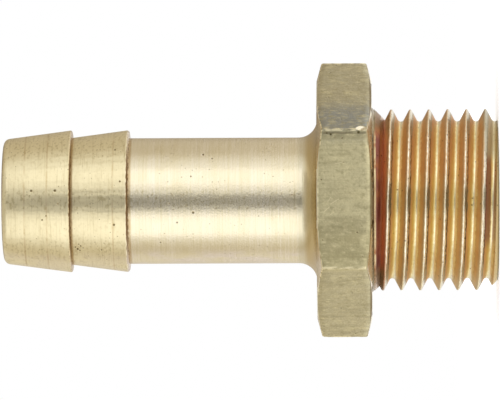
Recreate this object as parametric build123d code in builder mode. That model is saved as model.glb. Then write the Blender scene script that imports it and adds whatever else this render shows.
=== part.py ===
from build123d import *
from math import cos, pi, radians, sin, sqrt, tan
import os

os.makedirs("parts", exist_ok=True)

# A brass hose tail, turned in one piece from hexagon bar. Sizes are in millimetres.
# It stands on its threaded end. The origin is the centre of that end face, and +Z runs
# up the bore to the tip that the hose is pushed over.

# Pipe thread: parallel, nominal size 1/4, 19 turns to the inch
thread_diameter = 12.9
thread_pitch = 1.337
thread_length = 8.95
thread_angle = 55.0
thread_is_left_handed = True
first_crest_height = 0.84
thread_end_chamfer = 0.75
thread_depth = 0.65 * thread_pitch
crest_width = 0.1 * thread_pitch
groove_bottom_corners = 3

# Collar under the hexagon: a small lip, then a land as high as the crests, under which the
# groove runs out in a 45 degree cone
collar_lip = 0.15
collar_land = 0.06

# Hexagon for the spanner
hexagon_across_flats = 16.9
hexagon_thickness = 3.9
hexagon_chamfer_angle = 15.0
hexagon_face_diameter = 1.005 * hexagon_across_flats

# Stem, rounded into the hexagon at its root
stem_length = 13.36
stem_diameter = 8.96
stem_root_radius = 1.3

# Two barbs that taper towards the tip
barb_rim_diameter = 10.14
barb_taper_angle = 7.6
rear_barb_length = 4.09
front_barb_length = 4.86

# Bore
bore_diameter = 6.5

# Levels along the axis
hexagon_bottom = thread_length
hexagon_top = hexagon_bottom + hexagon_thickness
stem_top = hexagon_top + stem_length
rear_barb_top = stem_top + rear_barb_length
tip_height = rear_barb_top + front_barb_length

# Radii
thread_radius = thread_diameter / 2
root_radius = thread_radius - thread_depth
stem_radius = stem_diameter / 2
barb_rim_radius = barb_rim_diameter / 2
rear_barb_start_radius = barb_rim_radius - rear_barb_length * tan(radians(barb_taper_angle))
tip_radius = barb_rim_radius - front_barb_length * tan(radians(barb_taper_angle))
bore_radius = bore_diameter / 2
tip_wall = tip_radius - bore_radius
tip_rounding = min(0.45, 0.4 * tip_wall)
bore_chamfer = min(0.3, 0.3 * tip_wall)

# The groove between two turns of thread. The round bottom that joins its flanks is drawn with
# flat faces that touch the round, and above the crests its cutter goes straight out.
half_angle = radians(thread_angle / 2)
half_opening = (thread_pitch - crest_width) / 2
bottom_rounding = (half_opening / tan(half_angle) - thread_depth) / (1 / sin(half_angle) - 1)
corner_turn = (pi - 2 * half_angle) / groove_bottom_corners
corner_reach = bottom_rounding / cos(corner_turn / 2)
cutter_shoulder = 0.3 * crest_width
cutter_half_width = half_opening + cutter_shoulder * tan(half_angle)
cutter_height = thread_depth / 2

# The helix starts on the +X side, in the groove half a turn below the first crest, and it
# runs from below the end face to inside the hexagon.
groove_start = first_crest_height - 1.5 * thread_pitch
groove_end = hexagon_bottom + thread_pitch

# Groove of the thread, as the solid that is cut out
with BuildPart() as thread_groove:
    with BuildLine() as groove_path:
        Helix(
            pitch=thread_pitch,
            height=groove_end - groove_start,
            radius=thread_radius,
            center=(0, 0, groove_start),
            lefthand=thread_is_left_handed,
        )
    groove_plane = Plane(
        origin=groove_path.line @ 0,
        x_dir=(1, 0, 0),
        z_dir=groove_path.line % 0,
    )
    groove_outline = [
        (cutter_height, -cutter_half_width),
        (cutter_height, cutter_half_width),
        (cutter_shoulder, cutter_half_width),
    ]
    for corner in range(groove_bottom_corners):
        angle = ((groove_bottom_corners - 1) / 2 - corner) * corner_turn
        groove_outline.append(
            (
                bottom_rounding - thread_depth - corner_reach * cos(angle),
                corner_reach * sin(angle),
            )
        )
    groove_outline.append((cutter_shoulder, -cutter_half_width))
    with BuildSketch(groove_plane) as groove_section:
        with BuildLine():
            Polyline(*groove_outline, close=True)
        make_face()
    sweep(path=groove_path.line, is_frenet=True)

    # It runs out against a cone that reaches the crests at the foot of the collar's land
    land_foot = hexagon_bottom - collar_lip - collar_land
    cone_drop = 2 * thread_depth
    cone_rise = collar_land / 2
    cutter_radius = thread_radius + cutter_height + collar_land
    groove_bottom = groove_start - thread_pitch
    with BuildSketch(Plane.XZ) as run_out_section:
        with BuildLine():
            Polyline(
                (thread_radius - cone_drop, groove_bottom),
                (cutter_radius, groove_bottom),
                (cutter_radius, land_foot + cone_rise),
                (thread_radius + cone_rise, land_foot + cone_rise),
                (thread_radius - cone_drop, land_foot - cone_drop),
                close=True,
            )
        make_face()
    revolve(axis=Axis.Z, mode=Mode.INTERSECT)

with BuildPart() as hose_tail_body:
    # Hexagon, with its corners turned off on both sides
    with BuildSketch(Plane.XY.offset(hexagon_bottom)) as hexagon_section:
        RegularPolygon(hexagon_across_flats / 2, side_count=6, major_radius=False)
    extrude(amount=hexagon_thickness)
    face_radius = hexagon_face_diameter / 2
    crown_radius = 1.02 * hexagon_across_flats / sqrt(3)
    crown_drop = (crown_radius - face_radius) * tan(radians(hexagon_chamfer_angle))
    with BuildSketch(Plane.XZ) as crown_section:
        with BuildLine():
            Polyline(
                (0, hexagon_bottom),
                (face_radius, hexagon_bottom),
                (crown_radius, hexagon_bottom + crown_drop),
                (crown_radius, hexagon_top - crown_drop),
                (face_radius, hexagon_top),
                (0, hexagon_top),
                close=True,
            )
        make_face()
    revolve(axis=Axis.Z, mode=Mode.INTERSECT)

    # Stem and barbs, started inside the hexagon
    with BuildSketch(Plane.XZ) as tail_section:
        with BuildLine():
            Polyline(
                (0, hexagon_bottom + hexagon_thickness / 2),
                (stem_radius, hexagon_bottom + hexagon_thickness / 2),
                (stem_radius, stem_top),
                (barb_rim_radius, stem_top),
                (rear_barb_start_radius, rear_barb_top),
                (barb_rim_radius, rear_barb_top),
                (tip_radius, tip_height),
                (0, tip_height),
                close=True,
            )
        make_face()
    revolve(axis=Axis.Z)
    fillet(hose_tail_body.edges().filter_by(GeomType.CIRCLE).group_by(Axis.Z)[-1], tip_rounding)
    stem_root = (
        hose_tail_body.edges()
        .filter_by(GeomType.CIRCLE)
        .filter_by_position(Axis.Z, hexagon_top - 0.001, hexagon_top + 0.001)
        .sort_by(SortBy.RADIUS)[0]
    )
    fillet(stem_root, stem_root_radius)

    # Threaded stud and its collar, started inside the hexagon
    with BuildSketch(Plane.XZ) as stud_section:
        with BuildLine():
            Polyline(
                (0, 0),
                (thread_radius - thread_end_chamfer, 0),
                (thread_radius, thread_end_chamfer),
                (thread_radius, hexagon_bottom - collar_lip),
                (thread_radius + collar_lip, hexagon_bottom),
                (thread_radius + collar_lip, hexagon_bottom + hexagon_thickness / 2),
                (0, hexagon_bottom + hexagon_thickness / 2),
                close=True,
            )
        make_face()
    revolve(axis=Axis.Z)
    add(thread_groove.part, mode=Mode.SUBTRACT)

    # Bore, with both mouths chamfered
    with BuildSketch(Plane.XZ) as bore_section:
        with BuildLine():
            Polyline(
                (0, 0),
                (bore_radius + bore_chamfer, 0),
                (bore_radius, bore_chamfer),
                (bore_radius, tip_height - bore_chamfer),
                (bore_radius + bore_chamfer, tip_height),
                (0, tip_height),
                close=True,
            )
        make_face()
    revolve(axis=Axis.Z, mode=Mode.SUBTRACT)

hose_tail_body.part.label = "hose_tail_body"
export_step(hose_tail_body.part, "parts/hose_tail_body.step")
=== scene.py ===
# Brass hose tail in its three finishes: turned tail, drawn hexagon and cut thread.
# Sizes in the dictionaries are in millimetres, and angles in degrees.
import math
import bmesh
import bpy
from mathutils import Matrix, Vector, noise


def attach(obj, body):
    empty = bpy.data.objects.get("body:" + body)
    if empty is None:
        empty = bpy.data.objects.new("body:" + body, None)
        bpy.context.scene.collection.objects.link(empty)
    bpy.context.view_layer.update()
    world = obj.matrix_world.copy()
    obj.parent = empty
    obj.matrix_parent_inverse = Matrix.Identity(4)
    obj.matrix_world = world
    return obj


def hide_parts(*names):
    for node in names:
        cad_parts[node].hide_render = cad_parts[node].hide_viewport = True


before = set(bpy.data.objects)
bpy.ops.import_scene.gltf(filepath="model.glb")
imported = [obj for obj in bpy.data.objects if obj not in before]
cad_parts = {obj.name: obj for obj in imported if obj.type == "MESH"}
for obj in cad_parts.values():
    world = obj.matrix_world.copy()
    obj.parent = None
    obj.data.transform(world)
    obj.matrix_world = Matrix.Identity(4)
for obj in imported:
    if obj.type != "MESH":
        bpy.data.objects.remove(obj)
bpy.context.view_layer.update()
mm = 0.001
upward = Vector((0, 0, 1))
print("frame loaded")


# Mesh helpers

meshLimits = {
    "turnWeld": 0.001,          # how near points are that become one
    "bodyWeld": 0.002,
    "sliver": 0.001,            # edges shorter than this are dissolved
    "gapSides": 12,             # holes with up to this many sides are filled
    "sharpAngle": 30.0,
    "normalWeight": 80,
}


def roundedCorner(before, corner, after, radius, segments):
    # points of the arc that replaces a corner of a profile
    before, corner, after = Vector(before), Vector(corner), Vector(after)
    toBefore = (before - corner).normalized()
    toAfter = (after - corner).normalized()
    halfInside = toBefore.angle(toAfter) / 2
    middle = corner + (toBefore + toAfter).normalized() * (radius / math.sin(halfInside))
    start = (corner + toBefore * (radius / math.tan(halfInside)) - middle).normalized()
    end = (corner + toAfter * (radius / math.tan(halfInside)) - middle).normalized()
    return [
        tuple(middle + radius * start.slerp(end, step / segments))
        for step in range(segments + 1)]


def makeProfile(points):
    # each point is (radius, height) or (radius, height, corner radius, segments)
    outline = []
    for index, point in enumerate(points):
        if len(point) == 2:
            outline.append(point)
            continue
        before = points[index - 1][:2]
        after = points[(index + 1) % len(points)][:2]
        outline += roundedCorner(before, point[:2], after, point[2], point[3])
    return outline


def spinProfile(outline, steps, rise=0.0):
    # spins a closed outline once about the upright axis, with a rise where it is a helix
    shape = bmesh.new()
    ring = [shape.verts.new((radius * mm, 0, height * mm)) for radius, height in outline]
    edges = [shape.edges.new((ring[index - 1], ring[index])) for index in range(len(ring))]
    bmesh.ops.spin(
        shape, geom=ring + edges, cent=(0, 0, 0), axis=(0, 0, 1),
        dvec=(0, 0, rise * mm / steps), angle=-2 * math.pi, steps=steps,
        use_merge=rise == 0, use_normal_flip=False, use_duplicate=False)
    return shape


def stackTurns(shape, turns, rise):
    # joins copies of one turn end to end, and closes both ends
    turn = shape.verts[:] + shape.edges[:] + shape.faces[:]
    for index in range(1, turns):
        copy = bmesh.ops.duplicate(shape, geom=turn)["geom"]
        copied = [part for part in copy if isinstance(part, bmesh.types.BMVert)]
        bmesh.ops.translate(shape, verts=copied, vec=(0, 0, index * rise * mm))
    bmesh.ops.remove_doubles(shape, verts=shape.verts, dist=meshLimits["turnWeld"] * mm)
    ends = [edge for edge in shape.edges if edge.is_boundary]
    bmesh.ops.holes_fill(shape, edges=ends, sides=0)


def makeObject(name, shape):
    bmesh.ops.recalc_face_normals(shape, faces=shape.faces)
    mesh = bpy.data.meshes.new(name)
    shape.to_mesh(mesh)
    shape.free()
    piece = bpy.data.objects.new(name, mesh)
    bpy.context.collection.objects.link(piece)
    return piece


def cutWith(piece, tool, operation):
    # applies a boolean and removes the tool
    modifier = piece.modifiers.new(operation.lower(), "BOOLEAN")
    modifier.operation = operation
    modifier.solver = "EXACT"
    modifier.object = tool
    settled = piece.evaluated_get(bpy.context.evaluated_depsgraph_get())
    mesh = bpy.data.meshes.new_from_object(settled)
    piece.modifiers.clear()
    piece.data = mesh
    bpy.data.objects.remove(tool)


# Body

bodySize = {                    # each rounding is (radius, segments)
    "steps": 360,
    "boreRadius": 3.25,
    "boreChamfer": 0.3,
    "endRadius": 5.7,
    "endRounding": (0.06, 3),
    "endChamfer": 0.75,
    "threadRadius": 6.45,
    "threadRounding": (0.1, 2),
    "collarLip": 0.15,
    "hexagonBottom": 8.95,
    "hexagonTop": 12.85,
    "acrossFlats": 16.9,
    "faceRadius": 8.492,
    "faceGap": 0.15,            # least distance from the turned faces' rim to the flats
    "hexagonChamferAngle": 15.0,
    "hexagonEdge": 0.1,
    "hexagonEdgeSegments": 3,
    "hexagonEdgeAngle": 10.0,
    "hexagonRows": 9,
    "hexagonMarker": 9.9,       # radius that marks the rows which become flats
    "stemRadius": 4.48,
    "rootRounding": (1.3, 12),
    "stemTop": 26.21,
    "rimRadius": 5.07,
    "rearRimRounding": (0.17, 6),
    "frontRimRounding": (0.11, 5),
    "rearStartRadius": 4.524,
    "rearTop": 30.3,
    "tipRadius": 4.422,
    "tipTop": 35.16,
    "tipRounding": (0.45, 8),
}


def bodyOutline(size):
    bore, chamfer = size["boreRadius"], size["boreChamfer"]
    thread, lip = size["threadRadius"], size["collarLip"]
    bottom, top = size["hexagonBottom"], size["hexagonTop"]
    stem, rim = size["stemRadius"], size["rimRadius"]
    rows = size["hexagonRows"]
    sideRows = [
        (size["hexagonMarker"], bottom + (top - bottom) * row / (rows - 1))
        for row in range(rows)]
    return makeProfile([
        (bore, chamfer),
        (bore + chamfer, 0),
        (size["endRadius"], 0, *size["endRounding"]),
        (thread, size["endChamfer"], *size["threadRounding"]),
        (thread, bottom - lip),
        (thread + lip, bottom),
        (size["faceRadius"], bottom),
        *sideRows,
        (size["faceRadius"], top),
        (stem, top, *size["rootRounding"]),
        (stem, size["stemTop"]),
        (rim, size["stemTop"], *size["rearRimRounding"]),
        (size["rearStartRadius"], size["rearTop"]),
        (rim, size["rearTop"], *size["frontRimRounding"]),
        (size["tipRadius"], size["tipTop"], *size["tipRounding"]),
        (bore + chamfer, size["tipTop"]),
        (bore, size["tipTop"] - chamfer),
    ])


def turnFromFlat(direction):
    # angle round from the middle of the nearest flat, up to a twelfth of a turn either way
    return (math.atan2(direction.y, direction.x) % (math.pi / 3)) - math.pi / 6


def shapeHexagon(shape, size):
    # moves the marked rows onto six flats and turns the corners off by cones
    slope = math.tan(math.radians(size["hexagonChamferAngle"]))
    bottom, top = size["hexagonBottom"], size["hexagonTop"]
    nearby = 0.01
    marked = []
    for vert in shape.verts:
        reach = vert.co.xy.length / mm
        turn = math.atan2(vert.co.y, vert.co.x)
        radius = size["acrossFlats"] / 2 / math.cos(turnFromFlat(vert.co))
        rim = radius - size["faceGap"]
        if abs(reach - size["faceRadius"]) < nearby and reach > rim:
            vert.co.xy *= rim / reach
        if reach < size["hexagonMarker"] - nearby:
            continue
        marked.append(vert)
        drop = max(0.0, radius - size["faceRadius"]) * slope
        share = (vert.co.z / mm - bottom) / (top - bottom)
        height = bottom + drop + share * (top - bottom - 2 * drop)
        vert.co = Vector((radius * math.cos(turn), radius * math.sin(turn), height)) * mm
    markedSet = set(marked)
    edges = []
    for edge in shape.edges:
        if not all(vert in markedSet for vert in edge.verts):
            continue
        if len(edge.link_faces) != 2:
            continue
        if edge.calc_face_angle() > math.radians(size["hexagonEdgeAngle"]):
            edges.append(edge)
    bmesh.ops.bevel(
        shape, geom=edges, offset=size["hexagonEdge"] * mm, offset_type="OFFSET",
        segments=size["hexagonEdgeSegments"], profile=0.5, affect="EDGES",
        clamp_overlap=True, material=-1)


grooveSize = {
    "pitch": 1.337,
    "depth": 0.869,
    "crestWidth": 0.134,
    "crestRounding": 0.07,
    "crestSegments": 4,
    "bottomSegments": 10,
    "halfAngle": 27.5,
    "firstCrest": 0.84,
    "clearance": 0.003,         # keeps the cutter's shoulders off the crests' own surface
    "outside": 0.4,             # how far the cutter stands out past the crests
    "turns": 9,
    "turnsBelow": 3,            # from the first crest down to the foot of the run-out cutter
    "runOutOutside": 0.6,
    "landWidth": 0.06,
}


def grooveOutline(groove, size):
    # rounded crest edges, flanks and a round bottom, and a straight part outside the crests
    half = math.radians(groove["halfAngle"])
    opening = (groove["pitch"] - groove["crestWidth"]) / 2
    rounding = (opening / math.tan(half) - groove["depth"]) / (1 / math.sin(half) - 1)
    crest = size["threadRadius"] + groove["clearance"]
    apex = crest - opening / math.tan(half)
    middle = groove["firstCrest"] - 1.5 * groove["pitch"]
    low, high = middle - groove["pitch"] / 2, middle + groove["pitch"] / 2
    crestRounding = groove["crestRounding"], groove["crestSegments"]
    lowEdge = roundedCorner(
        (crest, low), (crest, middle - opening), (apex, middle), *crestRounding)
    highEdge = roundedCorner(
        (apex, middle), (crest, middle + opening), (crest, high), *crestRounding)
    bottom = roundedCorner(
        (crest, middle - opening), (apex, middle), (crest, middle + opening), rounding,
        groove["bottomSegments"])
    outer = crest + groove["outside"]
    return [(outer, lowEdge[0][1]), *lowEdge, *bottom, *highEdge, (outer, highEdge[-1][1])]


def runOutOutline(groove, size):
    # the cone that the groove runs out against, under the collar's land
    foot = size["hexagonBottom"] - size["collarLip"] - groove["landWidth"]
    crest = size["threadRadius"]
    drop = 2 * groove["depth"]
    rise = groove["landWidth"] / 2
    outer = crest + groove["runOutOutside"]
    low = groove["firstCrest"] - groove["turnsBelow"] * groove["pitch"]
    return [
        (crest - drop, low),
        (outer, low),
        (outer, foot + rise),
        (crest + rise, foot + rise),
        (crest - drop, foot - drop),
    ]


def makeBody(size, groove):
    shape = spinProfile(bodyOutline(size), size["steps"])
    shapeHexagon(shape, size)
    body = makeObject("hoseTail", shape)
    print("body spun")
    grooveTurn = spinProfile(grooveOutline(groove, size), size["steps"], groove["pitch"])
    stackTurns(grooveTurn, groove["turns"], groove["pitch"])
    cutter = makeObject("grooveCutter", grooveTurn)
    runOut = makeObject("runOut", spinProfile(runOutOutline(groove, size), size["steps"]))
    cutWith(cutter, runOut, "INTERSECT")
    print("groove cutter made")
    cutWith(body, cutter, "DIFFERENCE")
    print("thread cut")
    return body


def cleanMesh(piece):
    # welds what the booleans leave, closes small gaps and marks the sharp edges
    sharp = math.radians(meshLimits["sharpAngle"])
    shape = bmesh.new()
    shape.from_mesh(piece.data)
    bmesh.ops.remove_doubles(shape, verts=shape.verts, dist=meshLimits["bodyWeld"] * mm)
    bmesh.ops.dissolve_degenerate(
        shape, dist=meshLimits["sliver"] * mm, edges=shape.edges)
    gaps = [edge for edge in shape.edges if edge.is_boundary]
    bmesh.ops.holes_fill(shape, edges=gaps, sides=meshLimits["gapSides"])
    loose = [edge for edge in shape.edges if edge.is_wire]
    bmesh.ops.delete(shape, geom=loose, context="EDGES")
    bmesh.ops.triangulate(shape, faces=[face for face in shape.faces if len(face.verts) > 4])
    bmesh.ops.recalc_face_normals(shape, faces=shape.faces)
    openEdges = [edge for edge in shape.edges if len(edge.link_faces) != 2]
    for face in shape.faces:
        face.smooth = True
    for edge in shape.edges:
        edge.smooth = len(edge.link_faces) == 2 and edge.calc_face_angle(0) < sharp
    print("open edges", len(openEdges), "faces", len(shape.faces))
    shape.to_mesh(piece.data)
    shape.free()


wear = {
    "burrHeight": 0.05,         # ragged rims of the barbs
    "burrSpacing": 0.22,
    "burrPatch": 2.1,           # the burr comes and goes in patches of this size
    "burrMean": 0.5,            # shares of the height: everywhere, in patches and inwards
    "burrSwing": 0.8,
    "burrInward": 0.5,
    "burrInside": 0.25,         # how far from the rim it reaches: inwards, below and above
    "burrBelow": 0.02,
    "burrAbove": 0.3,
    "frontBurrShare": 0.6,
    "crestLoss": 0.035,         # ragged crests of the thread
    "crestSpacing": 0.3,
    "crestInside": 0.08,
    "crestMean": 0.25,
    "crestSideways": 0.6,
    "edgeLoss": 0.05,           # knocked edges of the hexagon
    "edgeSpacing": 0.45,
    "edgeInside": 0.02,
    "edgeWidth": 0.12,
    "cornerTurn": 28.6,         # the corners are 30 degrees from the middle of a flat
    "knockPlace": (5.05, -8.17, 9.72),      # a knock that flattens one corner
    "knockTurn": 35.0,
    "knockRadius": 0.7,
    "knockDepth": 0.05,
    "knockSubdivisions": 5,
}
sidewaysNoise = Vector((7, 3, 5))       # shifts that give a second direction its own noise
upwardNoise = Vector((2, 9, 4))


def knockMiddle():
    turn = math.radians(wear["knockTurn"])
    outward = Vector((math.sin(turn), -math.cos(turn), 0))
    return Vector(wear["knockPlace"]) + outward * (wear["knockRadius"] - wear["knockDepth"])


def knockCorner(piece):
    shape = bmesh.new()
    bmesh.ops.create_icosphere(
        shape, subdivisions=wear["knockSubdivisions"], radius=wear["knockRadius"] * mm,
        matrix=Matrix.Translation(knockMiddle() * mm))
    cutWith(piece, makeObject("knock", shape), "DIFFERENCE")


def burrShift(place, outward, share):
    at = place / wear["burrSpacing"]
    patch = wear["burrMean"] + wear["burrSwing"] * noise.noise(place / wear["burrPatch"])
    rough = share * wear["burrHeight"] * patch
    inward = rough * (wear["burrMean"] + noise.noise(at + sidewaysNoise)) * wear["burrInward"]
    return upward * (rough * noise.noise(at)) - outward * inward


def crestShift(place, outward):
    at = place / wear["crestSpacing"]
    inward = wear["crestLoss"] * max(0.0, wear["crestMean"] + noise.noise(at))
    sideways = wear["crestLoss"] * wear["crestSideways"] * noise.noise(at + upwardNoise)
    return upward * sideways - outward * inward


def edgeShift(place, outward):
    return -outward * wear["edgeLoss"] * max(0.0, noise.noise(place / wear["edgeSpacing"]))


def wearBody(piece, size):
    # moves points of the rims, crests and edges by a fixed noise, always inwards or along
    bottom, top = size["hexagonBottom"], size["hexagonTop"]
    slope = math.tan(math.radians(size["hexagonChamferAngle"]))
    rims = ((size["stemTop"], 1.0), (size["rearTop"], wear["frontBurrShare"]))
    for vert in piece.data.vertices:
        place = vert.co / mm
        reach = place.xy.length
        outward = Vector((place.x, place.y, 0)).normalized()
        shift = Vector()
        for rimHeight, share in rims:
            onRim = -wear["burrBelow"] < place.z - rimHeight < wear["burrAbove"]
            if onRim and reach > size["rimRadius"] - wear["burrInside"]:
                shift = burrShift(place, outward, share)
        onThread = place.z < bottom - size["collarLip"]
        if onThread and reach > size["threadRadius"] - wear["crestInside"]:
            shift = crestShift(place, outward)
        if bottom < place.z < top and reach > size["faceRadius"] + wear["edgeInside"]:
            cornerNear = abs(math.degrees(turnFromFlat(place))) > wear["cornerTurn"]
            drop = (reach - size["faceRadius"]) * slope
            sideNear = min(place.z - bottom, top - place.z) < drop + wear["edgeWidth"]
            if cornerNear or sideNear:
                shift = edgeShift(place, outward)
        vert.co = (place + shift) * mm


# Materials

def linearColour(hexValue):
    channels = [int(hexValue[index:index + 2], 16) / 255 for index in (1, 3, 5)]
    linear = [
        value / 12.92 if value <= 0.04045 else ((value + 0.055) / 1.055) ** 2.4
        for value in channels]
    return (*linear, 1.0)


def addNode(tree, kind, settings=None, inputs=None):
    node = tree.nodes.new(kind)
    for name, value in (settings or {}).items():
        setattr(node, name, value)
    for name, value in (inputs or {}).items():
        if isinstance(value, bpy.types.NodeSocket):
            tree.links.new(value, node.inputs[name])
        else:
            node.inputs[name].default_value = value
    return node


def startMaterial(name):
    material = bpy.data.materials.new(name)
    material.use_nodes = True
    material.node_tree.nodes.clear()
    return material, material.node_tree


def setStops(ramp, stops):
    # each stop is (place, hex colour); a new ramp already has two
    elements = ramp.color_ramp.elements
    for index, (place, hexValue) in enumerate(stops):
        stop = elements[index] if index < 2 else elements.new(place)
        stop.position = place
        stop.color = linearColour(hexValue)


def foldMasks(tree, operation, masks):
    # brings a list of masks and strengths down to one, by their product or their maximum
    result = masks[0]
    for mask in masks[1:]:
        result = addNode(tree, "ShaderNodeMath", {"operation": operation}, {
            0: result, 1: mask}).outputs[0]
    return result


def startCoordinates(tree):
    # Object coordinates in millimetres, the measures that bands run along, and the direction
    # round the axis
    place = addNode(tree, "ShaderNodeTexCoord")
    scaled = addNode(tree, "ShaderNodeMapping", {}, {
        "Vector": place.outputs["Object"], "Scale": (1000, 1000, 1000)})
    axes = addNode(tree, "ShaderNodeSeparateXYZ", {}, {"Vector": scaled.outputs[0]})
    across, depth, height = (axes.outputs[name] for name in ("X", "Y", "Z"))
    fromMiddle = addNode(tree, "ShaderNodeMath", {"operation": "ABSOLUTE"}, {0: across})
    angle = addNode(tree, "ShaderNodeMath", {"operation": "ARCTAN2"}, {0: depth, 1: across})
    back = addNode(tree, "ShaderNodeMath", {"operation": "MULTIPLY"}, {0: depth, 1: -1.0})
    aroundAxis = addNode(tree, "ShaderNodeCombineXYZ", {}, {
        "X": back.outputs[0], "Y": across})
    measures = {
        "across": across,           # 0 in the middle of the photo's view
        "fromMiddle": fromMiddle.outputs[0],
        "depth": depth,             # negative towards the camera
        "height": height,
        "angle": angle.outputs[0],
    }
    return scaled.outputs[0], measures, aroundAxis.outputs[0]


def patchMask(tree, coords, patchSize, low, high, stretch=(1, 1, 1), detail=3.0):
    # patches of a real size in millimetres, 0 where the noise is under low and 1 over high
    turned = addNode(tree, "ShaderNodeMapping", {}, {"Vector": coords, "Scale": stretch})
    cloud = addNode(tree, "ShaderNodeTexNoise", {}, {
        "Vector": turned.outputs[0], "Scale": 1 / patchSize, "Detail": detail})
    mask = addNode(tree, "ShaderNodeMapRange", {"interpolation_type": "SMOOTHSTEP"}, {
        "Value": cloud.outputs[0], "From Min": low, "From Max": high})
    return mask.outputs[0]


def pitMask(tree, coords, spacing, radius, share):
    # round specks of a real radius, on a share of the cells of a real spacing
    cells = addNode(tree, "ShaderNodeTexVoronoi", {}, {"Vector": coords, "Scale": 1 / spacing})
    inside = addNode(tree, "ShaderNodeMapRange", {"interpolation_type": "SMOOTHSTEP"}, {
        "Value": cells.outputs["Distance"], "From Min": radius / spacing,
        "From Max": 0.4 * radius / spacing})
    draw = addNode(tree, "ShaderNodeSeparateColor", {}, {"Color": cells.outputs["Color"]})
    chosen = addNode(tree, "ShaderNodeMath", {"operation": "LESS_THAN"}, {
        0: draw.outputs[0], 1: share})
    return foldMasks(tree, "MULTIPLY", [inside.outputs[0], chosen.outputs[0]])


def bandMask(tree, value, low, high, soft):
    # 1 between low and high, fading to 0 over soft beyond each of them
    rise = addNode(tree, "ShaderNodeMapRange", {"interpolation_type": "SMOOTHSTEP"}, {
        "Value": value, "From Min": low - soft, "From Max": low})
    fall = addNode(tree, "ShaderNodeMapRange", {"interpolation_type": "SMOOTHSTEP"}, {
        "Value": value, "From Min": high + soft, "From Max": high})
    return foldMasks(tree, "MULTIPLY", [rise.outputs[0], fall.outputs[0]])


def placedPits(tree, coords, places):
    # pits at given places: across, height and radius
    flat = addNode(tree, "ShaderNodeMapping", {}, {"Vector": coords, "Scale": (1, 0, 1)})
    pits = []
    for across, height, radius in places:
        away = addNode(tree, "ShaderNodeVectorMath", {"operation": "DISTANCE"}, {
            0: flat.outputs[0], 1: (across, 0, height)})
        pit = addNode(tree, "ShaderNodeMapRange", {"interpolation_type": "SMOOTHSTEP"}, {
            "Value": away.outputs["Value"], "From Min": radius * 1.2, "From Max": radius * 0.3})
        pits.append(pit.outputs[0])
    return foldMasks(tree, "MAXIMUM", pits)


def placedScratches(tree, coords, places):
    # scratches at given places: across, height, length, angle and width
    scratches = []
    for across, height, length, angle, width in places:
        moved = addNode(tree, "ShaderNodeMapping", {"vector_type": "TEXTURE"}, {
            "Vector": coords, "Location": (across, 0, height),
            "Rotation": (0, math.radians(angle), 0)})
        sides = addNode(tree, "ShaderNodeSeparateXYZ", {}, {"Vector": moved.outputs[0]})
        scratches.append(foldMasks(tree, "MULTIPLY", [
            bandMask(tree, sides.outputs["X"], -width / 4, width / 4, width / 2),
            bandMask(tree, sides.outputs["Z"], -length / 4, length / 4, length / 4)]))
    return foldMasks(tree, "MAXIMUM", scratches)


def makeMasks(tree, look, coords, measures):
    # every mask that a look lists, by name. Patterns are (patch size, low, high, stretch,
    # detail), specks are (spacing, radius, share of cells), and bands are (measure, low,
    # high, soft edge).
    masks = {}
    for name, values in look["patterns"].items():
        masks[name] = patchMask(tree, coords, *values)
    for name, values in look["specks"].items():
        masks[name] = pitMask(tree, coords, *values)
    for name, (measure, *values) in look["bands"].items():
        masks[name] = bandMask(tree, measures[measure], *values)
    # marks at given places are only on the side that faces the camera
    near = addNode(tree, "ShaderNodeMath", {"operation": "LESS_THAN"}, {
        0: measures["depth"], 1: 0.0}).outputs[0]
    for name, makeMarks in (("largePits", placedPits), ("scratches", placedScratches)):
        if name in look:
            masks[name] = foldMasks(
                tree, "MULTIPLY", [makeMarks(tree, coords, look[name]), near])
    return masks


def layerColours(tree, look, masks, base):
    # lays colours over each other in order. Each layer is (colour, strength, masks), and
    # shows where all of its masks do.
    colour = base
    for name, strength, *maskNames in look["layers"]:
        share = foldMasks(tree, "MULTIPLY", [*[masks[mask] for mask in maskNames], strength])
        colour = addNode(tree, "ShaderNodeMix", {"data_type": "RGBA"}, {
            0: share, 6: colour, 7: linearColour(look["colours"][name])}).outputs[2]
    return colour


def layerHeights(tree, look, masks):
    # bumps the normal by each relief, which is (height in millimetres, masks)
    normal = None
    for height, *maskNames in look["relief"]:
        inputs = {
            "Height": foldMasks(tree, "MULTIPLY", [masks[mask] for mask in maskNames]),
            "Distance": abs(height) * mm, "Strength": 1.0}
        if normal is not None:
            inputs["Normal"] = normal
        normal = addNode(
            tree, "ShaderNodeBump", {"invert": height < 0}, inputs).outputs[0]
    return normal


def finishMetal(tree, look, masks, base, aroundAxis):
    # roughness is one number, or (mask, value without it, value where it is full)
    roughness = look["roughness"]
    if isinstance(roughness, tuple):
        mask, bare, full = roughness
        roughness = addNode(tree, "ShaderNodeMapRange", {}, {
            "Value": masks[mask], "To Min": bare, "To Max": full}).outputs[0]
    shader = addNode(tree, "ShaderNodeBsdfPrincipled", {}, {
        "Base Color": layerColours(tree, look, masks, base), "Metallic": 1.0,
        "Roughness": roughness, "Normal": layerHeights(tree, look, masks),
        "Tangent": aroundAxis, "Anisotropic": look["brushed"],
        "Anisotropic Rotation": look["brushedTurn"]})
    addNode(tree, "ShaderNodeOutputMaterial", {}, {"Surface": shader.outputs["BSDF"]})


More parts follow.
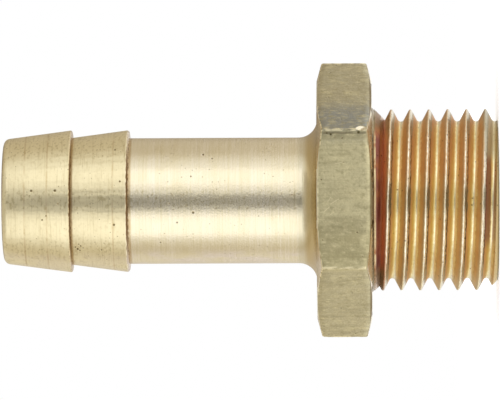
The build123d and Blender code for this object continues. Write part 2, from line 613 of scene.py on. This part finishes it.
# Free-cutting brass, turned on a lathe: pale straw metal with fine rings round it, satin
# in the highlights, with dark pits, brown stain with painted shade along the barbs' rims,
# painted amber shade in the corners under them, painted shade on their sides and in the
# rounded corner at the hexagon, a painted dark reflection of the lens down the middle and
# a painted pale reflection on the lower side
turnedLook = {
    "roughness": ("barbs", 0.27, 0.35),
    "brushed": 0.3,
    "brushedTurn": 0.25,
    "colours": {
        "stem": "#ede3cb",
        "barb": "#ede1bb",
        "cloud": "#e1d4ac",
        "mottle": "#b9a878",        # olive mottle; painted shade where the barbs turn away, painted dark reflection of the lens down the middle
        "lowSidePink": "#e6dbd4",         # painted dull pinkish reflection on the lower side
        "lowSidePale": "#fff6ec",
        "pit": "#78663e",
        "stainAndShade": "#6d4a1e",
        "amber": "#b08c4e",
        "root": "#c2ac79",          # painted shade in the rounded corner at the hexagon
        "filletShade": "#d2caae",
    },
    "patterns": {
        "rings": (0.11, 0.3, 0.7, (0.02, 0.02, 1), 2.0),    # coarser than the feed, to show
        "broadRings": (0.5, 0.35, 0.65, (0.04, 0.04, 1)),
        "hairlines": (0.12, 0.54, 0.72, (0.06, 0.06, 1), 2.0),
        "clouds": (1.3, 0.45, 0.75, (1, 1, 0.8), 5.0),
        "dimples": (0.5, 0.3, 0.7),
        "grain": (0.16, 0.25, 0.75, (1, 1, 1), 2.0),
        "speckle": (0.26, 0.5, 0.72, (1, 1, 1.4), 4.0),
        "clusters": (3.0, 0.4, 0.6),
        "lowSidePatches": (1.3, 0.35, 0.6, (1, 1, 0.5), 5.0),
        "ragged": (0.5, 0.2, 0.5),
        "ringPatches": (1.2, 0.3, 0.65),
    },
    "specks": {"finePits": (0.3, 0.055, 0.55)},
    "bands": {
        "barbs": ("height", 26.4, 40, 0.15),
        "turnedAway": ("fromMiddle", 3.6, 9, 1.4),
        "darkBand": ("across", -0.5, 0.5, 0.5),
        "lowSideBand": ("across", -6, -3.95, 0.6),
        "frontCornerShade": ("height", 26.08, 26.21, 0.14),
        "frontStainAndShade": ("wavering", 26.25, 26.34, 0.04),
        "rearCornerShade": ("height", 30.2, 30.3, 0.12),
        "rearStainAndShade": ("wavering", 30.32, 30.37, 0.035),
        "root": ("height", 12.9, 13.4, 0.5),
        "filletShade": ("height", 13.6, 14.05, 0.3),
        "tip": ("height", 35.1, 36, 0.05),
        "tipRing": ("height", 33.5, 33.55, 0.06),
        "middleRing": ("height", 31.9, 31.95, 0.06),
        "rearRing": ("height", 27.24, 27.29, 0.06),
    },
    "waver": (0.3, 0.2, 0.8, (1, 1, 1), 4.0),   # stains follow a wavering line
    "waverReach": 0.07,
    # how strong the rims' stain and painted shade are, in the middle facing the camera and at
    # the sides
    "stainAndShadeFade": {"start": 2.2, "end": 4.6, "middle": 0.9, "side": 0.45},
    "lowSideStrength": {"stem": 0.6, "barbs": 0.2},
    "layers": (
        ("barb", 1.0, "barbs"),
        ("cloud", 0.35, "clouds"),
        ("cloud", 0.36, "rings"),
        ("cloud", 0.26, "broadRings"),
        ("mottle", 0.22, "speckle", "barbs"),
        ("mottle", 0.22, "hairlines", "barbs"),
        ("mottle", 0.12, "hairlines"),
        # painted dark reflection of the lens, speckled, down the middle facing the camera
        ("mottle", 0.5, "speckle", "darkBand"),
        # painted shade, speckled, where the barbs turn away to the sides
        ("mottle", 0.42, "speckle", "turnedAway", "barbs"),
        # painted pale pinkish reflection on the lower side, with pale specks
        ("lowSidePink", 1.0, "lowSideBand", "lowSidePatches", "lowSideStrength"),
        ("lowSidePale", 0.7, "lowSideBand", "lowSidePatches", "lowSideStrength", "speckle"),
        # painted amber shade in the corner under each barb's shoulder
        ("amber", 0.55, "frontCornerShade", "ragged"),
        ("amber", 0.6, "rearCornerShade"),
        # painted shade in the rounded corner at the hexagon, lighter and greyer where it meets
        # the stem
        ("filletShade", 0.45, "filletShade"),
        ("root", 0.85, "root"),
        ("stainAndShade", 0.5, "tip", "ragged"),
        # brown stain with painted shade along each barb's rim
        ("stainAndShade", 1.0, "rearStainAndShade", "stainAndShadeFade"),
        ("stainAndShade", 1.0, "frontStainAndShade", "stainAndShadeFade"),
        ("amber", 0.35, "tipRing", "ringPatches"),
        ("amber", 0.35, "middleRing", "ringPatches"),
        ("amber", 0.35, "rearRing", "ringPatches"),
        ("pit", 0.7, "finePits", "clusters"),
        ("pit", 1.0, "largePits"),
    ),
    "relief": (
        (0.0022, "rings"), (0.0028, "grain"), (0.006, "clouds"), (0.0035, "dimples", "barbs"),
        (-0.02, "largePits")),
    "largePits": (
        (0.69, 31.32, 0.11), (0.69, 33.01, 0.10), (-0.86, 21.59, 0.10), (-1.71, 27.17, 0.09),
        (-3.41, 29.81, 0.10), (3.24, 20.90, 0.09), (-0.23, 31.11, 0.07), (1.68, 21.74, 0.06),
        (3.60, 27.13, 0.08), (1.33, 26.74, 0.08), (-1.35, 32.24, 0.07), (-3.20, 29.59, 0.07),
        (-0.23, 23.29, 0.06), (-3.48, 28.12, 0.06), (-2.99, 23.94, 0.06), (-0.65, 23.01, 0.06),
        (-1.07, 31.96, 0.06), (0.34, 14.61, 0.06), (-1.57, 22.73, 0.06), (2.96, 20.26, 0.07),
        (-3.28, 29.98, 0.06), (-3.08, 29.72, 0.05), (-3.34, 29.42, 0.05), (-3.5, 29.66, 0.07),
    ),
}


def makeTurnedBrass(look):
    material, tree = startMaterial("turnedBrass")
    coords, measures, aroundAxis = startCoordinates(tree)
    waver = patchMask(tree, coords, *look["waver"])
    measures["wavering"] = addNode(tree, "ShaderNodeMath", {"operation": "MULTIPLY_ADD"}, {
        0: waver, 1: look["waverReach"], 2: measures["height"]}).outputs[0]
    masks = makeMasks(tree, look, coords, measures)
    fade = look["stainAndShadeFade"]
    masks["stainAndShadeFade"] = addNode(
        tree, "ShaderNodeMapRange", {"interpolation_type": "SMOOTHSTEP"}, {
            "Value": measures["fromMiddle"], "From Min": fade["start"],
            "From Max": fade["end"], "To Min": fade["middle"],
            "To Max": fade["side"]}).outputs[0]
    masks["lowSideStrength"] = addNode(tree, "ShaderNodeMapRange", {}, {
        "Value": masks["barbs"], "To Min": look["lowSideStrength"]["stem"],
        "To Max": look["lowSideStrength"]["barbs"]}).outputs[0]
    finishMetal(tree, look, masks, linearColour(look["colours"]["stem"]), aroundAxis)
    return material


# Brass bar drawn to a hexagon: duller and olive, with long streaks from the die, knocks
# and scratches, and a greyer patch beside one corner; painted shade on the sides that turn
# away, and a painted highlight over rubbed wear along the corners and the top edge
drawnLook = {
    "roughness": ("patches", 0.37, 0.48),
    "brushed": 0.4,
    "brushedTurn": 0.0,
    "colours": {
        "metal": "#cdc39b",
        "light": "#e2d7ab",
        "dark": "#a49a74",
        "sideShade": "#a89f86",          # painted greyer shade on the sides that turn away
        "grey": "#92928c",
        "foot": "#6a5738",          # shaded edge beside the collar
        # pale rubbed brass, also used as a painted highlight
        "edge": "#f2e6bd",
        "pit": "#5f563a",
    },
    "patterns": {
        "streaks": (0.13, 0.35, 0.7, (1, 1, 0.05)),
        "broadStreaks": (0.8, 0.4, 0.7, (1, 1, 0.12)),
        "darkStreaks": (0.45, 0.5, 0.75, (1, 1, 0.1)),
        "patches": (1.5, 0.4, 0.7, (1, 1, 0.7), 4.0),
        "grain": (0.14, 0.3, 0.75, (1, 1, 1), 2.0),
        "speckle": (0.22, 0.5, 0.75, (1, 1, 0.5), 4.0),
        "darkSpeckle": (0.3, 0.52, 0.72, (1, 1, 0.8), 4.0),
        "mottle": (0.7, 0.5, 0.7, (1, 1, 0.7), 5.0),
        "cornerRagged": (0.35, 0.42, 0.58, (1, 1, 0.6), 4.0),
        "topRagged": (0.3, 0.42, 0.55, (1, 1, 1), 4.0),
        "scratchPatches": (0.5, 0.35, 0.55, (1, 1, 0.5)),
    },
    "specks": {"pits": (0.6, 0.09, 0.3)},
    "bands": {
        "nearFace": ("depth", -9, -6, 1.0),
        "nearHalf": ("depth", -9, -6, 4.0),
        "greySide": ("across", 5.2, 5.8, 1.6),
        "upperSide": ("across", 5.0, 12, 0.3),
        "lowerSide": ("across", -12, -5.2, 0.3),
        "darkSide": ("across", -4.4, -2.0, 0.7),
        "darkCorner": ("across", 4.3, 4.7, 0.25),
        "longScratch": ("across", 4.57, 4.63, 0.05),
        "foot": ("height", 8, 9.05, 0.12),
        "topEdge": ("height", 12.72, 13, 0.06),
        "corners": ("toCorner", 0.998, 2, 0.0012),
    },
    "layers": (
        ("dark", 0.5, "patches"),
        ("light", 0.4, "broadStreaks"),
        ("light", 0.36, "streaks"),
        ("dark", 0.6, "darkStreaks"),
        # painted shade on the sides that turn away
        ("sideShade", 0.65, "upperSide"),
        ("sideShade", 0.4, "lowerSide"),
        ("grey", 0.95, "greySide", "nearHalf"),
        ("dark", 0.6, "darkSide", "nearFace"),
        ("dark", 0.6, "darkCorner", "nearFace"),
        ("light", 0.4, "mottle"),
        ("light", 0.6, "speckle"),
        ("dark", 0.6, "darkSpeckle"),
        ("dark", 0.25, "grain"),
        # rubbed wear and a painted highlight along the corners
        ("edge", 0.8, "corners", "cornerRagged"),
        # painted highlight along the top edge of the flats that face the camera
        ("edge", 0.8, "topEdge", "nearFace", "topRagged"),
        ("edge", 0.6, "scratches"),
        ("foot", 0.8, "foot"),
        ("pit", 0.55, "longScratch", "nearFace", "scratchPatches"),
        ("pit", 0.7, "pits"),
        ("pit", 1.0, "largePits"),
    ),
    "relief": ((0.0025, "streaks"), (0.005, "grain"), (0.02, "patches"), (-0.02, "pits")),
    "largePits": (
        (4.65, 9.89, 0.13), (4.93, 9.41, 0.12), (4.5, 11.83, 0.1), (4.6, 12.1, 0.07)),
    "scratches": (
        (-0.75, 12.15, 0.75, -40, 0.045), (-0.2, 11.6, 0.9, -32, 0.05),
        (-0.05, 11.95, 0.6, -58, 0.04), (-1.05, 11.8, 0.5, -35, 0.04),
        (2.5, 11.3, 0.7, -8, 0.04), (1.6, 12.3, 0.5, 78, 0.04)),
}


def makeDrawnBrass(look):
    material, tree = startMaterial("drawnBrass")
    coords, measures, aroundAxis = startCoordinates(tree)
    # 1 on the hexagon's corners, which lie every sixth of a turn
    sixfold = addNode(tree, "ShaderNodeMath", {"operation": "MULTIPLY"}, {
        0: measures["angle"], 1: 6.0})
    measures["toCorner"] = addNode(tree, "ShaderNodeMath", {"operation": "COSINE"}, {
        0: sixfold.outputs[0]}).outputs[0]
    masks = makeMasks(tree, look, coords, measures)
    finishMetal(tree, look, masks, linearColour(look["colours"]["metal"]), aroundAxis)
    return material


# The same bar where its edges have been rubbed bright by handling, with a painted
# highlight along the top edge and painted shade beside the collar
rubbedLook = {
    "roughness": 0.3,
    "brushed": 0.3,
    "brushedTurn": 0.0,
    "colours": {
        "metal": "#f6e9c2",
        "film": "#a59868",          # what the rubbing has left
        # painted highlight along the top edge
        "topEdge": "#fffbea",
        "lowEdge": "#8c7c56",
        # painted shade beside the collar, as on the flats
        "foot": "#6a5738",
    },
    "patterns": {"ragged": (0.25, 0.45, 0.62, (1, 1, 0.6), 4.0)},
    "specks": {},
    "bands": {
        "topEdge": ("height", 12.68, 13, 0.05),
        "lowEdge": ("height", 8, 9.4, 0.08),
        "foot": ("height", 8, 9.1, 0.15),
    },
    "layers": (
        ("film", 0.85, "ragged"),
        ("topEdge", 0.8, "topEdge"),
        ("lowEdge", 0.8, "lowEdge"),
        ("foot", 0.85, "foot"),
    ),
    "relief": ((0.01, "ragged"),),
}


def makeRubbedBrass(look):
    material, tree = startMaterial("rubbedBrass")
    coords, measures, aroundAxis = startCoordinates(tree)
    masks = makeMasks(tree, look, coords, measures)
    finishMetal(tree, look, masks, linearColour(look["colours"]["metal"]), aroundAxis)
    return material


# Thread cut in the same brass and tarnished since: orange-brown flanks, with crests rubbed
# pale and painted highlights on crests and roots, red-brown beside the collar and greyer at
# the end; painted shade on the collar's lip and sides and on the side crests, and a painted
# highlight along the collar's land
threadLook = {
    "roughness": ("rubbed", 0.5, 0.28),
    "brushed": 0.5,
    "brushedTurn": 0.25,
    "profile": (                # share of the pitch above a crest, and colour, with painted highlights on crests and roots
        (0.0, "#fcf6de"), (0.035, "#ecdcb4"), (0.07, "#cab488"), (0.2, "#dfba7e"),
        (0.31, "#dcc48c"), (0.36, "#f4eed0"), (0.395, "#fffcea"), (0.475, "#fbf3ca"),
        (0.545, "#e2ce8e"), (0.66, "#dab764"), (0.76, "#d9ab6a"), (0.82, "#d2a26c"),
        (0.85, "#5a3c1e"), (0.88, "#5a3c1e"), (0.9, "#fbf3dc"), (0.97, "#fffaea")),
    "colours": {
        "warm": "#c98e55",
        "crestShade": "#8d8266",    # crests straight in front, which mirror the dark lens
        "crestSideShade": "#b9ab86",
        "land": "#f3e2b4",
        "lip": "#746749",
        "lipPit": "#3a2c18",
        "collarEnds": "#8a7750",
        "red": "#c87852",
        "purple": "#9a6461",
        "grey": "#8a5a4c",
        "endCrest": "#b3ad92",
        "end": "#dccb9c",
        "endEdge": "#8f8260",
        "pit": "#4f3518",
    },
    "patterns": {
        "clouds": (1.1, 0.4, 0.75, (1, 1, 0.8), 4.0),
        "grain": (0.13, 0.3, 0.75, (1, 1, 1), 2.0),
        "ragged": (0.6, 0.2, 0.55),
        "crestPatches": (0.3, 0.15, 0.5, (1, 1, 1), 4.0),
        "purplePatches": (1.8, 0.3, 0.6),
        "lipPatches": (0.35, 0.5, 0.6),
    },
    "specks": {
        "pits": (0.5, 0.08, 0.3),
        "crestPits": (0.26, 0.07, 0.6),
        "endPits": (0.24, 0.05, 0.7),
    },
    "bands": {                  # those along "share" are shares of the pitch above a crest
        "onCrest": ("share", 0.83, 1.0, 0.03),
        "rubbedRoot": ("share", 0.4, 0.53, 0.07),
        "rubbedCrest": ("share", 0.9, 1.1, 0.04),
        "warmSide": ("across", 2.4, 8, 2.5),
        "upperSide": ("across", 3.4, 8, 1.0),
        "nearMiddle": ("fromMiddle", -1, 0.35, 1.0),
        "wideMiddle": ("fromMiddle", -1, 2.6, 1.2),
        "landMiddle": ("fromMiddle", -1, 4.4, 0.6),
        "farSides": ("fromMiddle", 5.2, 8, 1.2),
        "collarSides": ("fromMiddle", 5.4, 8, 1.0),
        "red": ("height", 8.15, 8.8, 0.3),
        "purple": ("height", 8.42, 8.66, 0.1),
        "collar": ("height", 8.3, 9, 0.3),
        "land": ("height", 8.69, 8.79, 0.02),
        "lip": ("height", 8.82, 9, 0.02),
        "firstTurn": ("height", 0.62, 1.02, 0.1),
        "endTurn": ("height", 0.1, 0.95, 0.15),
        "end": ("height", -1, 0.3, 0.1),
        "endSpecks": ("height", -1, 0.35, 0.05),
        "endEdge": ("height", -1, 0.06, 0.08),
    },
    "jitter": (0.3, 0.2, 0.8, (1, 1, 1), 4.0),  # the profile follows a wavering line
    "jitterReach": 0.05,
    "turnsBelow": 20,           # keeps the share positive under the first crest
    "layers": (
        ("warm", 0.3, "clouds", "flanks"),
        ("warm", 0.4, "warmSide", "flanks"),
        ("red", 0.75, "red"),
        ("purple", 0.85, "purple", "purplePatches"),
        # painted highlight along the collar's land, on the side facing the camera
        ("land", 0.95, "land", "ragged", "landMiddle"),
        # painted shade on the collar's lip, in the corner under the hexagon
        ("lip", 0.95, "lip"),
        ("lipPit", 0.76, "lip", "lipPatches"),
        ("crestShade", 0.85, "nearMiddle", "onCrest", "crestPatches"),
        # painted shade on the crests at the sides that turn away
        ("crestSideShade", 0.75, "farSides", "onCrest"),
        # painted shade on the collar where it turns away to the sides
        ("collarEnds", 0.75, "collar", "collarSides"),
        ("grey", 0.75, "firstTurn", "wideMiddle", "flanks"),
        ("endCrest", 0.6, "endTurn", "upperSide"),
        ("end", 0.8, "end"),
        ("endEdge", 0.8, "endEdge"),
        ("pit", 0.8, "endPits", "endSpecks"),
        ("pit", 0.8, "pits"),
        ("pit", 0.8, "crestPits", "onCrest"),
    ),
    "relief": ((0.003, "grain"), (-0.015, "pits")),
}


def makeThreadBrass(look, groove):
    material, tree = startMaterial("threadBrass")
    coords, measures, aroundAxis = startCoordinates(tree)
    # where a point lies between two crests, from its height and its angle round the axis
    turnShare = addNode(tree, "ShaderNodeMath", {"operation": "DIVIDE"}, {
        0: measures["angle"], 1: 2 * math.pi})
    heightShare = addNode(tree, "ShaderNodeMath", {"operation": "MULTIPLY_ADD"}, {
        0: measures["height"], 1: 1 / groove["pitch"],
        2: look["turnsBelow"] - groove["firstCrest"] / groove["pitch"]})
    turns = addNode(tree, "ShaderNodeMath", {"operation": "ADD"}, {
        0: heightShare.outputs[0], 1: turnShare.outputs[0]})
    jitter = patchMask(tree, coords, *look["jitter"])
    shaken = addNode(tree, "ShaderNodeMath", {"operation": "MULTIPLY_ADD"}, {
        0: jitter, 1: look["jitterReach"], 2: turns.outputs[0]})
    measures["share"] = addNode(tree, "ShaderNodeMath", {"operation": "FRACT"}, {
        0: shaken.outputs[0]}).outputs[0]
    masks = makeMasks(tree, look, coords, measures)
    # the flanks keep their tarnish and the tool's roughness; crests and roots are smoother, and
    # their pale, partly rubbed colour is painted highlight
    masks["rubbed"] = foldMasks(tree, "MAXIMUM", [masks["rubbedRoot"], masks["rubbedCrest"]])
    masks["flanks"] = addNode(tree, "ShaderNodeMath", {"operation": "SUBTRACT"}, {
        0: 1.0, 1: masks["rubbed"]}).outputs[0]
    profile = addNode(tree, "ShaderNodeValToRGB", {}, {"Fac": measures["share"]})
    setStops(profile, look["profile"])
    finishMetal(tree, look, masks, profile.outputs[0], aroundAxis)
    return material


# Finishes on the body

finishSize = {
    "boreMargin": 0.4,          # the end face beside the bore keeps the turned finish
    "knockMargin": 0.003,
    "flatMargin": 0.25,         # how far inside the flats the drawn bar still shows
    "edgeTurn": 6.0,            # a face turned further than this from a flat is an edge
    "uprightShare": 0.3,        # and so is one whose normal leans more than this
    "faceShare": 0.9,           # up to this, where the turned faces begin
}
turned, drawn, rubbed, cut = range(4)


def isRubbed(normal):
    # narrow faces between two flats, or between a flat and its chamfer
    lean = abs(normal.z)
    edgeTurned = abs(math.degrees(turnFromFlat(normal))) > finishSize["edgeTurn"]
    betweenFlats = edgeTurned and lean < finishSize["uprightShare"]
    ontoChamfer = finishSize["uprightShare"] < lean < finishSize["faceShare"]
    return betweenFlats or ontoChamfer


def pickFinish(place, normal, size):
    reach = place.xy.length
    if place.z < size["hexagonBottom"] and reach > size["boreRadius"] + finishSize["boreMargin"]:
        return cut
    if (place - knockMiddle()).length < wear["knockRadius"] + finishSize["knockMargin"]:
        return turned
    onHexagon = size["hexagonBottom"] < place.z < size["hexagonTop"]
    onFlat = reach > size["acrossFlats"] / 2 - finishSize["flatMargin"]
    if onHexagon and onFlat and abs(normal.z) < finishSize["faceShare"]:
        return rubbed if isRubbed(normal) else drawn
    return turned


body = makeBody(bodySize, grooveSize)
knockCorner(body)
cleanMesh(body)
for finish in (
        makeTurnedBrass(turnedLook), makeDrawnBrass(drawnLook), makeRubbedBrass(rubbedLook),
        makeThreadBrass(threadLook, grooveSize)):
    body.data.materials.append(finish)
for face in body.data.polygons:
    face.material_index = pickFinish(face.center / mm, face.normal, bodySize)
print("materials set")
wearBody(body, bodySize)
evenNormals = body.modifiers.new("even normals", "WEIGHTED_NORMAL")
evenNormals.keep_sharp = True
evenNormals.weight = meshLimits["normalWeight"]
print("body worn")

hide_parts("hose_tail_body")
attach(body, "root")


# Floor, light and camera

studio = {
    "floorSide": 160,           # from the axis to the paper's edge at the sides and back
    "floorFront": 60,
    "paper": "#f8f8f8",
    "paperLift": 0.29,          # what keeps the shadow on the paper pale
    "softboxTurn": 52,
    "softboxHeight": 110,
    "softboxDistance": 800,
    "softboxWidth": 760,
    "softboxTall": 700,
    "softboxAim": 18,
    "leftWatts": 0.71,
    "rightWatts": 0.65,
    "cardSteps": 24,
    "cardRadius": 600,
    "cardFoot": -500,
    "cardTop": 1400,
    "lampTop": 330,
    "lens": ((-16, "#949494"), (11, "#949494")),
    "left": (
        (-68, "#ffffff"), (-84, "#e4ddcf"), (-97, "#cbc1ab"), (-106, "#d5ccba"),
        (-117, "#e4ddd0"), (-135, "#ebe5d8"), (-178, "#d6cec0")),
    "right": (
        (60, "#ffffff"), (71, "#fcfaf5"), (96, "#ccc2b0"), (130, "#ccc2b1"), (178, "#a99d8b")),
    "overLamps": ((-68, "#cec9be"), (60, "#cec9be")),
    "ceiling": "#cec9be",
}


def makeFloor():
    shape = bmesh.new()
    bmesh.ops.create_grid(shape, x_segments=1, y_segments=1, size=studio["floorSide"] * mm)
    for vert in shape.verts:
        vert.co.y = max(vert.co.y, -studio["floorFront"] * mm)
    floor = makeObject("floor", shape)
    material, tree = startMaterial("whitePaper")
    paper = addNode(tree, "ShaderNodeBsdfDiffuse", {}, {"Color": linearColour(studio["paper"])})
    rays = addNode(tree, "ShaderNodeLightPath")
    seen = rays.outputs["Is Camera Ray"]
    for kind in ("Is Glossy Ray", "Is Transmission Ray"):
        seen = addNode(tree, "ShaderNodeMath", {"operation": "MAXIMUM"}, {
            0: seen, 1: rays.outputs[kind]}).outputs[0]
    lift = addNode(tree, "ShaderNodeEmission", {}, {
        "Strength": foldMasks(tree, "MULTIPLY", [seen, studio["paperLift"]])})
    both = addNode(tree, "ShaderNodeAddShader", {}, {0: paper.outputs[0], 1: lift.outputs[0]})
    addNode(tree, "ShaderNodeOutputMaterial", {}, {"Surface": both.outputs[0]})
    floor.data.materials.append(material)


def hangCard(card):
    # cards are seen only in the metal
    card.visible_camera = False
    card.visible_diffuse = False
    card.visible_shadow = False


def makeCard(name, tones, foot):
    # an upright arc of card round the set; each tone is an azimuth in degrees round from the
    # camera, and a colour
    top = studio["cardTop"]
    inner, outer = tones[0][0], tones[-1][0]
    shape = bmesh.new()
    # azimuth 0 is towards the camera, a quarter turn back from the X axis
    start = Matrix.Rotation(math.radians(inner - 90), 3, "Z")
    ends = [
        shape.verts.new(start @ Vector((studio["cardRadius"] * mm, 0, height * mm)))
        for height in (foot, top)]
    edge = shape.edges.new(ends)
    bmesh.ops.spin(
        shape, geom=[*ends, edge], cent=(0, 0, 0), axis=(0, 0, 1),
        angle=math.radians(outer - inner), steps=studio["cardSteps"], use_duplicate=False)
    card = makeObject(name, shape)
    material, tree = startMaterial(name + "Paper")
    place = addNode(tree, "ShaderNodeTexCoord")
    axes = addNode(tree, "ShaderNodeSeparateXYZ", {}, {"Vector": place.outputs["Object"]})
    back = addNode(tree, "ShaderNodeMath", {"operation": "MULTIPLY"}, {
        0: axes.outputs["Y"], 1: -1.0})
    turn = addNode(tree, "ShaderNodeMath", {"operation": "ARCTAN2"}, {
        0: axes.outputs["X"], 1: back.outputs[0]})
    along = addNode(tree, "ShaderNodeMapRange", {}, {
        "Value": turn.outputs[0], "From Min": math.radians(inner),
        "From Max": math.radians(outer)})
    ramp = addNode(tree, "ShaderNodeValToRGB", {}, {"Fac": along.outputs[0]})
    setStops(ramp, [((azimuth - inner) / (outer - inner), tone) for azimuth, tone in tones])
    glow = addNode(tree, "ShaderNodeEmission", {}, {"Color": ramp.outputs["Color"]})
    addNode(tree, "ShaderNodeOutputMaterial", {}, {"Surface": glow.outputs[0]})
    card.data.materials.append(material)
    hangCard(card)


def makeCeiling():
    shape = bmesh.new()
    bmesh.ops.create_circle(
        shape, cap_ends=True, segments=2 * studio["cardSteps"],
        radius=studio["cardRadius"] * mm,
        matrix=Matrix.Translation((0, 0, studio["cardTop"] * mm)))
    ceiling = makeObject("ceiling", shape)
    material, tree = startMaterial("ceilingPaper")
    glow = addNode(tree, "ShaderNodeEmission", {}, {"Color": linearColour(studio["ceiling"])})
    addNode(tree, "ShaderNodeOutputMaterial", {}, {"Surface": glow.outputs[0]})
    ceiling.data.materials.append(material)
    hangCard(ceiling)


def makeWorld():
    world = bpy.data.worlds.new("studio")
    bpy.context.scene.world = world
    world.use_nodes = True
    tree = world.node_tree
    tree.nodes.clear()
    backdrop = addNode(tree, "ShaderNodeBackground", {}, {
        "Color": (1, 1, 1, 1), "Strength": 1.0})
    addNode(tree, "ShaderNodeOutputWorld", {}, {"Surface": backdrop.outputs[0]})


def makeSoftbox(name, azimuth, watts):
    light = bpy.data.lights.new(name, "AREA")
    light.shape = "RECTANGLE"
    light.size = studio["softboxWidth"] * mm
    light.size_y = studio["softboxTall"] * mm
    light.energy = watts
    box = bpy.data.objects.new(name, light)
    turn = math.radians(azimuth)
    distance = studio["softboxDistance"]
    place = Vector((
        math.sin(turn) * distance, -math.cos(turn) * distance, studio["softboxHeight"])) * mm
    box.location = place
    aim = Vector((0, 0, studio["softboxAim"])) * mm
    box.rotation_euler = (place - aim).to_track_quat("Z", "Y").to_euler()
    bpy.context.collection.objects.link(box)


view = {
    "distance": 425,
    "height": 10.0,
    "aimHeight": 17.64,
    "azimuth": -0.65,
    "side": 0.045,              # how far the camera and its aim stand off to one side
    "tilt": 0.25,
    "frameWidth": 35.65,
    "sensorWidth": 36,
    "clipEnd": 10,              # in metres
}


def makeCamera():
    turn = math.radians(view["azimuth"])
    side = Vector((view["side"], 0, 0))
    place = side + Vector((
        math.sin(turn) * view["distance"], -math.cos(turn) * view["distance"], view["height"]))
    aim = side + Vector((0, 0, view["aimHeight"]))
    back = (place - aim).normalized()
    levelRight = (-upward + upward.dot(back) * back).normalized()
    levelUp = back.cross(levelRight)
    tilt = math.radians(view["tilt"])
    right = levelRight * math.cos(tilt) - levelUp * math.sin(tilt)
    lens = bpy.data.cameras.new("camera")
    lens.sensor_width = view["sensorWidth"]
    lens.lens = view["sensorWidth"] * (place - aim).length / view["frameWidth"]
    lens.clip_end = view["clipEnd"]
    camera = bpy.data.objects.new("camera", lens)
    axes = Matrix((right, back.cross(right), back)).transposed()
    camera.matrix_world = Matrix.Translation(place * mm) @ axes.to_4x4()
    bpy.context.collection.objects.link(camera)
    bpy.context.scene.camera = camera


makeFloor()
makeWorld()
makeSoftbox("softboxLeft", -studio["softboxTurn"], studio["leftWatts"])
makeSoftbox("softboxRight", studio["softboxTurn"], studio["rightWatts"])
makeCard("lensCard", studio["lens"], studio["cardFoot"])
makeCard("leftCard", studio["left"], studio["cardFoot"])
makeCard("rightCard", studio["right"], studio["cardFoot"])
makeCard("overLampCard", studio["overLamps"], studio["lampTop"])
makeCeiling()
makeCamera()
bpy.context.scene.view_settings.view_transform = "Standard"
print("studio set")
